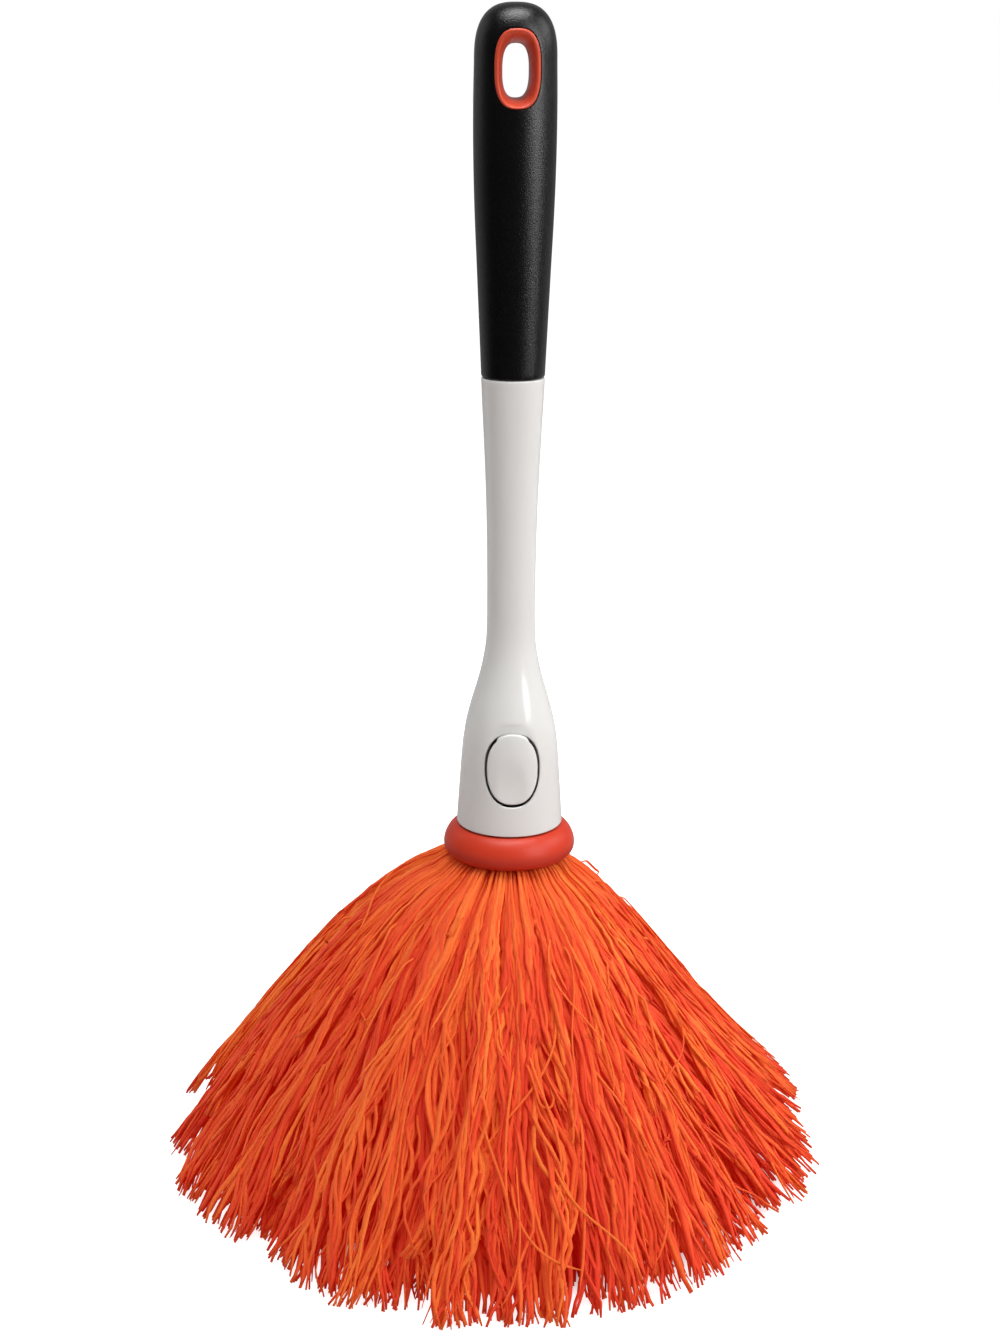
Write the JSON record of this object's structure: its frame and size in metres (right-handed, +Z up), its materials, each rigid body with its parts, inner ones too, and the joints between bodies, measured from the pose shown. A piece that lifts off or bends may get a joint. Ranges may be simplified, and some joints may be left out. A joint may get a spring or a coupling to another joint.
{
  "type": "microfibre duster",
  "caption": "Hand duster: splayed microfibre strands, soft collar ring, flared neck with a push release tab, and a soft domed grip with an oval hang hole.",
  "frame": {"origin": "on the floor, in the middle of the circle that the strands stand on", "axes": "+Z up along the handle towards the grip's dome; -Y is the front, with the release tab; the hang hole runs along Y"},
  "size_m": [0.2218, 0.2218, 0.37],
  "materials": {
    "soft_black_grip": "satin",
    "grey_core": "matte",
    "soft_orange": "satin",
    "white_gloss": "gloss",
    "orange_microfibre": "matte",
    "zinc_steel": "satin"
  },
  "bodies": {
    "handle": {"grip_sleeve": "soft_black_grip", "grip_core": "grey_core", "hang_hole_liner": "soft_orange", "neck_housing": "white_gloss"},
    "release_tab": {"release_tab": "white_gloss"},
    "head": {"head_plug": "white_gloss", "spring_catch": "grey_core", "collar_ring": "soft_orange", "strands_top_tier": "orange_microfibre", "strands_upper_tier": "orange_microfibre", "strands_lower_tier": "orange_microfibre", "strands_bottom_tier": "orange_microfibre", "retainer_washer": "grey_core", "retainer_screw": "zinc_steel"}
  },
  "joints": [
    {"name": "tab_press", "type": "hinge", "parent": "handle", "child": "release_tab", "pos_m": [0, -0.01317, 0.1496], "axis": [1, 0, 0], "range_deg": [0, 6], "stiffness_Nm_per_rad": 0.6},
    {"name": "head_release", "type": "slide", "parent": "handle", "child": "head", "axis": [0, 0, -1], "range_m": [0, 0.04], "deforming": ["spring_catch"]}
  ]
}
